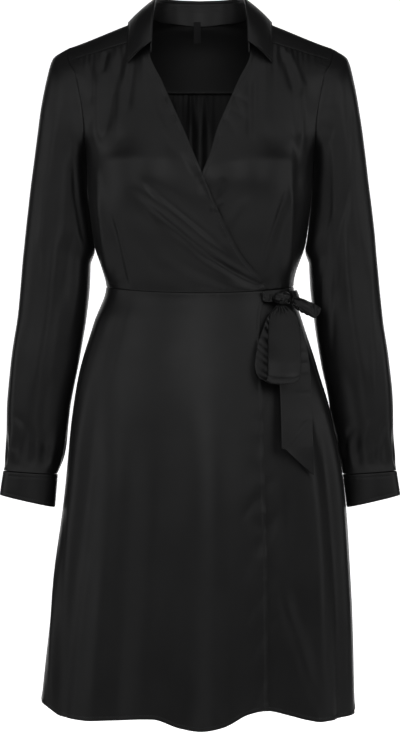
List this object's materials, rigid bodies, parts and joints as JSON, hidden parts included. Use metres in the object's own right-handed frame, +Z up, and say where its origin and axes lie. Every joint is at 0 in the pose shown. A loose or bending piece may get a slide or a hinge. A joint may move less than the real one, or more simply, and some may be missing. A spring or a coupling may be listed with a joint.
{
  "type": "wrap dress",
  "caption": "Knee-length wrap dress in black satin, worn hollow: shirt collar, yoke, crossed front, long cuffed sleeves, bow at the side of the waist.",
  "frame": {"origin": "between the shoulders, on the centre line, at the height where the shoulder seams reach the collar", "axes": "+Z up along the body, -Y out of the front, +X towards the wearer's left"},
  "size_m": [0.5546, 0.3622, 1.0025],
  "materials": {
    "satin": "soft satin sheen",
    "button": "glossy",
    "label": "plain woven"
  },
  "bodies": {
    "root": {"bodice_back": "satin", "bodice_front_left": "satin", "bodice_front_right": "satin", "bow_knot": "satin", "bow_loop_front": "satin", "bow_loop_side": "satin", "collar_leaf": "satin", "collar_stand": "satin", "cuff_button_left": "button", "cuff_button_right": "button", "cuff_left": "satin", "cuff_right": "satin", "neck_label": "label", "skirt_back": "satin", "skirt_front_left": "satin", "skirt_front_right": "satin", "sleeve_left": "satin", "sleeve_right": "satin", "tie_end_inner": "satin", "tie_end_outer": "satin", "tie_front": "satin", "tie_side": "satin", "yoke": "satin"}
  },
  "joints": []
}
